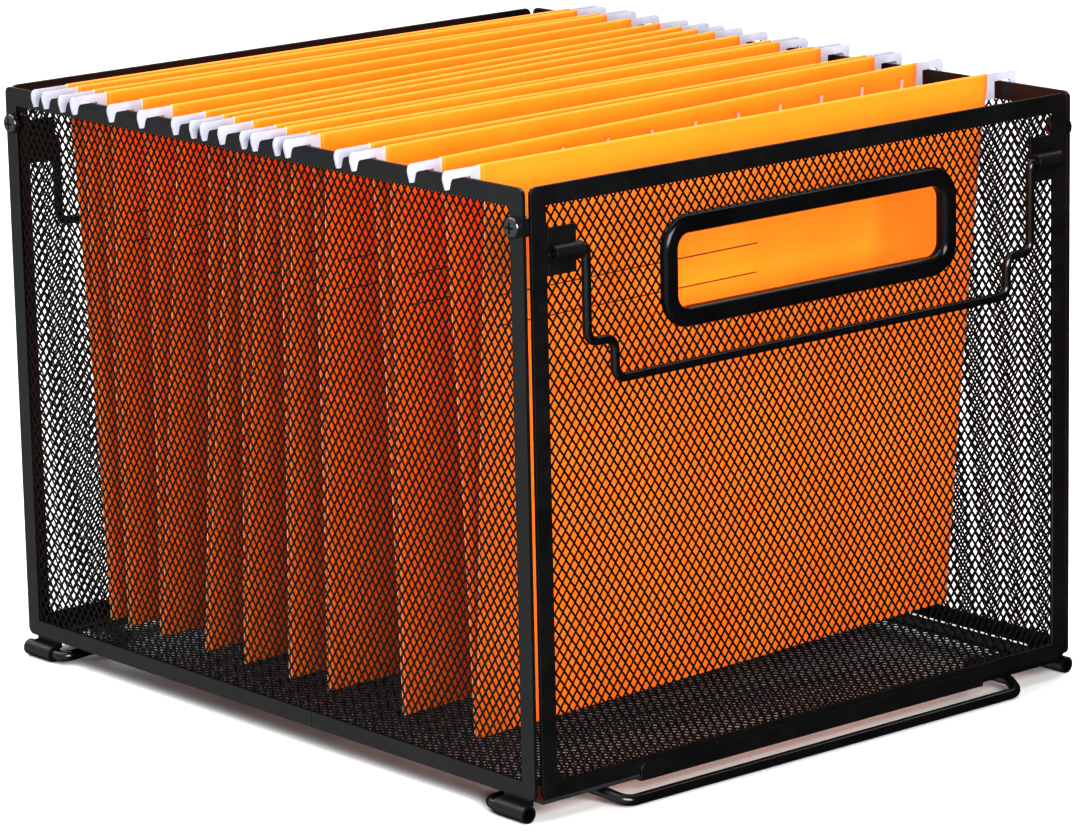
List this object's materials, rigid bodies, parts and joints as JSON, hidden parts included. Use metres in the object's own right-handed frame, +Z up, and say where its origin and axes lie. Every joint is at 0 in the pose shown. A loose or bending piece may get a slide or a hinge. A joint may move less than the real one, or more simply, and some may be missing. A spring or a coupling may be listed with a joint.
{
  "type": "hanging file rack",
  "caption": "Stackable black expanded-mesh crate with slotted handles and swinging wire bails, filled with orange hanging folders on its side rails.",
  "frame": {"origin": "centre of the bounding box's underside, on the surface that the rack stands on", "axes": "+Z up, +Y from the front panel to the rear panel, +X to the right across the rack, along each folder"},
  "size_m": [0.3388, 0.389, 0.2724],
  "materials": {
    "frame_coating": "satin black powder coat on folded steel strip",
    "mesh_coating": "satin black powder coat on expanded steel mesh",
    "wire_coating": "semi-gloss black powder coat on steel wire",
    "handle_rim": "glossy black",
    "screw_black": "black oxide pan-head screw",
    "nut_zinc": "black oxide nut",
    "folder_card": "matt orange card with paler cut edges",
    "rod_coating": "white coated steel strip"
  },
  "bodies": {
    "crate": {"base_frame": "frame_coating", "base_mesh": "mesh_coating", "corner_nuts": "nut_zinc", "corner_screws": "screw_black", "front_base_clip": "frame_coating", "front_catch_wire": "wire_coating", "front_frame": "frame_coating", "front_handle_backing": "handle_rim", "front_handle_bezel": "handle_rim", "front_left_bail_bracket": "frame_coating", "front_left_corner_tab": "frame_coating", "front_left_foot": "frame_coating", "front_mesh": "mesh_coating", "front_right_bail_bracket": "frame_coating", "front_right_corner_tab": "frame_coating", "front_right_foot": "frame_coating", "left_side_frame": "frame_coating", "left_side_mesh": "mesh_coating", "rear_base_clip": "frame_coating", "rear_catch_wire": "wire_coating", "rear_frame": "frame_coating", "rear_handle_backing": "handle_rim", "rear_handle_bezel": "handle_rim", "rear_left_bail_bracket": "frame_coating", "rear_left_corner_tab": "frame_coating", "rear_left_foot": "frame_coating", "rear_mesh": "mesh_coating", "rear_right_bail_bracket": "frame_coating", "rear_right_corner_tab": "frame_coating", "rear_right_foot": "frame_coating", "right_side_frame": "frame_coating", "right_side_mesh": "mesh_coating"},
    "front_bail": {"front_bail": "wire_coating"},
    "rear_bail": {"rear_bail": "wire_coating"},
    "folder_1": {"folder_1_card": "folder_card", "folder_1_rods": "rod_coating"},
    "folder_2": {"folder_2_card": "folder_card", "folder_2_rods": "rod_coating"},
    "folder_3": {"folder_3_card": "folder_card", "folder_3_rods": "rod_coating"},
    "folder_4": {"folder_4_card": "folder_card", "folder_4_rods": "rod_coating"},
    "folder_5": {"folder_5_card": "folder_card", "folder_5_rods": "rod_coating"},
    "folder_6": {"folder_6_card": "folder_card", "folder_6_rods": "rod_coating"},
    "folder_7": {"folder_7_card": "folder_card", "folder_7_rods": "rod_coating"},
    "folder_8": {"folder_8_card": "folder_card", "folder_8_rods": "rod_coating"},
    "folder_9": {"folder_9_card": "folder_card", "folder_9_rods": "rod_coating"}
  },
  "joints": [
    {"name": "front_bail_hinge", "type": "hinge", "parent": "crate", "child": "front_bail", "pos_m": [0, -0.1867, 0.2403], "axis": [-1, 0, 0], "range_deg": [-1, 181]},
    {"name": "rear_bail_hinge", "type": "hinge", "parent": "crate", "child": "rear_bail", "pos_m": [0, 0.1867, 0.2403], "axis": [1, 0, 0], "range_deg": [-1, 181]},
    {"name": "folder_1_slide", "type": "slide", "parent": "crate", "child": "folder_1", "axis": [0, 1, 0], "range_m": [-0.03, 0.0122]},
    {"name": "folder_2_slide", "type": "slide", "parent": "crate", "child": "folder_2", "axis": [0, 1, 0], "range_m": [-0.0122, 0.014]},
    {"name": "folder_3_slide", "type": "slide", "parent": "crate", "child": "folder_3", "axis": [0, 1, 0], "range_m": [-0.014, 0.0067]},
    {"name": "folder_4_slide", "type": "slide", "parent": "crate", "child": "folder_4", "axis": [0, 1, 0], "range_m": [-0.0067, 0.0067]},
    {"name": "folder_5_slide", "type": "slide", "parent": "crate", "child": "folder_5", "axis": [0, 1, 0], "range_m": [-0.0067, 0.0028]},
    {"name": "folder_6_slide", "type": "slide", "parent": "crate", "child": "folder_6", "axis": [0, 1, 0], "range_m": [-0.0028, 0.0064]},
    {"name": "folder_7_slide", "type": "slide", "parent": "crate", "child": "folder_7", "axis": [0, 1, 0], "range_m": [-0.0064, 0.0052]},
    {"name": "folder_8_slide", "type": "slide", "parent": "crate", "child": "folder_8", "axis": [0, 1, 0], "range_m": [-0.0052, 0.0053]},
    {"name": "folder_9_slide", "type": "slide", "parent": "crate", "child": "folder_9", "axis": [0, 1, 0], "range_m": [-0.0053, 0.03]}
  ]
}
